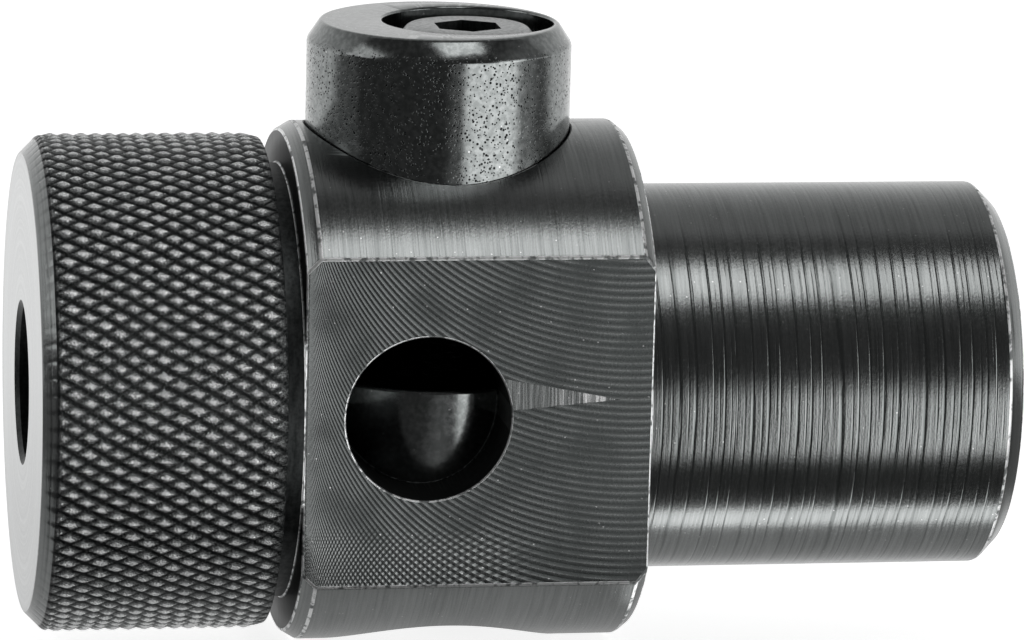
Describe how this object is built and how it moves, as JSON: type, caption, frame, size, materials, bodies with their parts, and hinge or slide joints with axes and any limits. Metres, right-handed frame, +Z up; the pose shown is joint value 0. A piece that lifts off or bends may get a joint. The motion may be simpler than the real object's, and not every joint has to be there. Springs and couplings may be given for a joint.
{
  "type": "tapping chuck",
  "caption": "Tapping chuck with a plain round shank, a knurled nut over a rubber and steel collet, and two screw-drawn jaws in a cross bore that grip the tap's square.",
  "frame": {"origin": "on the chuck axis, at the shoulder face where the head meets the shank", "axes": "+X runs out along the shank, +Z up the cross bore to the clamp screw's head, and the flat with the sight window faces -Y"},
  "size_m": [0.0633, 0.032, 0.0403],
  "materials": {
    "burnished_steel": "burnished black steel with fine turning and milling marks",
    "nut_steel": "burnished black steel, diamond knurled",
    "jaw_steel": "hardened and blackened steel, ground, slightly pitted",
    "screw_steel": "black oxide screw steel",
    "washer_steel": "plain steel washer, lightly oiled",
    "blade_steel": "ground spring steel",
    "collet_rubber": "moulded black oil-resistant rubber"
  },
  "bodies": {
    "holder": {"holder_body": "burnished_steel", "guide_screw_upper": "screw_steel", "guide_screw_lower": "screw_steel"},
    "collet": {"collet_rubber": "collet_rubber", "collet_blade_01": "blade_steel", "collet_blade_02": "blade_steel", "collet_blade_03": "blade_steel", "collet_blade_04": "blade_steel", "collet_blade_05": "blade_steel", "collet_blade_06": "blade_steel", "collet_blade_07": "blade_steel", "collet_blade_08": "blade_steel", "collet_blade_09": "blade_steel", "collet_blade_10": "blade_steel", "collet_blade_11": "blade_steel", "collet_blade_12": "blade_steel"},
    "nut": {"clamping_nut": "nut_steel"},
    "upper_jaw": {"upper_jaw": "jaw_steel", "screw_washer": "washer_steel"},
    "screw": {"clamp_screw": "screw_steel"},
    "lower_jaw": {"lower_jaw": "jaw_steel"}
  },
  "joints": [
    {"name": "collet_travel", "type": "slide", "parent": "holder", "child": "collet", "axis": [-1, 0, 0], "range_m": [0, 0.0045]},
    {"name": "nut_turn", "type": "hinge", "parent": "collet", "child": "nut", "pos_m": [-0.031, 0, 0], "axis": [-1, 0, 0], "range_deg": [0, 1080]},
    {"name": "jaw_float", "type": "slide", "parent": "holder", "child": "upper_jaw", "axis": [0, 0, 1], "range_m": [-0.003, 0.0006]},
    {"name": "screw_turn", "type": "hinge", "parent": "upper_jaw", "child": "screw", "pos_m": [-0.01032, 0, 0.0181], "axis": [0, 0, 1], "range_deg": [-1485, 720]},
    {"name": "lower_jaw_travel", "type": "slide", "parent": "upper_jaw", "child": "lower_jaw", "axis": [0, 0, -1], "range_m": [-0.0033, 0.0016]}
  ],
  "couplings": [
    {"joint": "nut_turn", "follows": "collet_travel", "rad_per_m": 4188.8},
    {"joint": "screw_turn", "follows": "lower_jaw_travel", "rad_per_m": 7854}
  ]
}
